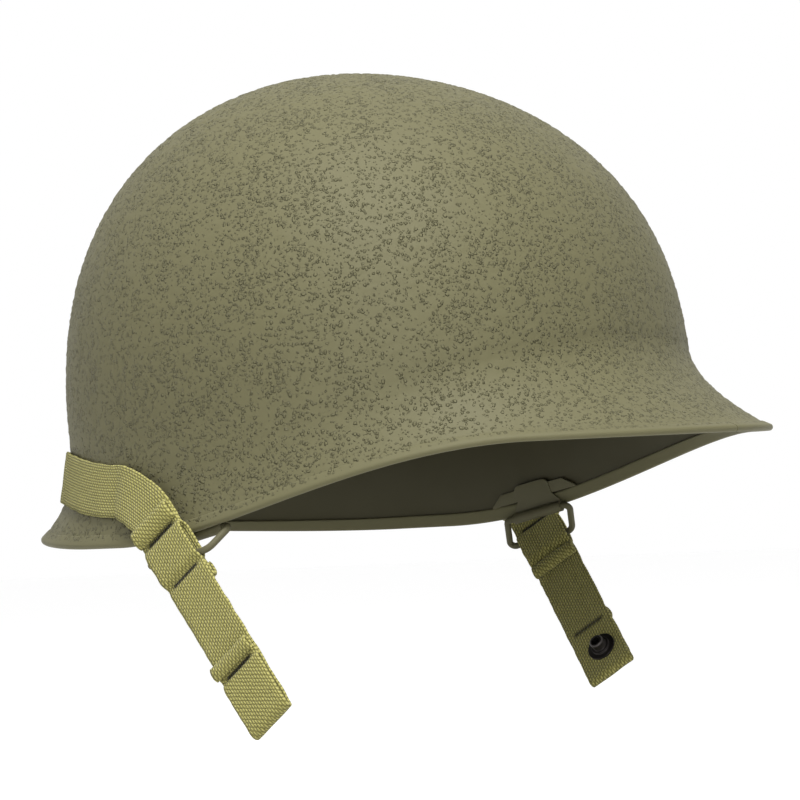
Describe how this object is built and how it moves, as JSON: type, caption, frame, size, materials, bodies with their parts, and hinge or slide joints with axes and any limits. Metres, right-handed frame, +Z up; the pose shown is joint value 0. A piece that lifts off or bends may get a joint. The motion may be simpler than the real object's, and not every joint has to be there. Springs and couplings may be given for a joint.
{
  "type": "steel pot helmet",
  "caption": "Deep drawn steel pot helmet with a flared rim, edging strip, swivel wire bales and web chin straps with snaps.",
  "frame": {"origin": "in the head opening, on the middle plane at the pot's widest station, at the level of the lowest point of the edge", "axes": "-Y to the front of the pot, +Z up to the crown, -X to the wearer's right"},
  "size_m": [0.2762, 0.2811, 0.2365],
  "materials": {
    "shell_paint": "matte olive drab paint with fine grit in it on the outside, plain matte inside",
    "trim_paint": "matte olive drab paint on a folded steel strip",
    "fitting_paint": "matte olive drab paint over steel wire and plate",
    "webbing": "light olive cotton webbing with a diagonal weave",
    "black_metal": "blackened brass, satin"
  },
  "bodies": {
    "pot": {"shell": "shell_paint", "rim_trim": "trim_paint", "bale_bracket_right": "fitting_paint", "bale_bracket_left": "fitting_paint", "chin_strap_turn_right": "webbing", "chin_strap_turn_left": "webbing", "chin_strap_run_right": "webbing", "chin_strap_run_left": "webbing", "strap_buckle": "black_metal", "strap_hook": "black_metal", "strap_tip": "black_metal"},
    "bale_loop_right": {"bale_right": "fitting_paint"},
    "bale_loop_left": {"bale_left": "fitting_paint"},
    "strap_ends_right": {"snap_strap_right": "webbing", "chin_strap_end_right": "webbing", "snap_stud_right": "black_metal", "snap_eyelet_right": "black_metal"},
    "strap_ends_left": {"snap_strap_left": "webbing", "chin_strap_end_left": "webbing", "snap_stud_left": "black_metal", "snap_eyelet_left": "black_metal"}
  },
  "joints": [
    {"name": "bale_swivel_right", "type": "hinge", "parent": "pot", "child": "bale_loop_right", "pos_m": [-0.11446, 0.00926, 0.00234], "axis": [0.0624, 0.9765, -0.2065], "range_deg": [-30, 0], "deforming": ["chin_strap_turn_right"]},
    {"name": "bale_swivel_left", "type": "hinge", "parent": "pot", "child": "bale_loop_left", "pos_m": [0.11446, 0.00926, 0.00234], "axis": [0.0624, -0.9765, 0.2065], "range_deg": [-30, 25], "deforming": ["chin_strap_turn_left"]},
    {"name": "strap_swing_right", "type": "hinge", "parent": "bale_loop_right", "child": "strap_ends_right", "pos_m": [-0.12381, 0.01326, -0.00576], "axis": [-0.0624, -0.9765, 0.2065], "range_deg": [0, 20], "deforming": ["chin_strap_turn_right"]},
    {"name": "strap_swing_left", "type": "hinge", "parent": "bale_loop_left", "child": "strap_ends_left", "pos_m": [0.12165, 0.01266, -0.00795], "axis": [-0.0624, 0.9765, -0.2065], "range_deg": [-10, 20], "deforming": ["chin_strap_turn_left"]}
  ]
}
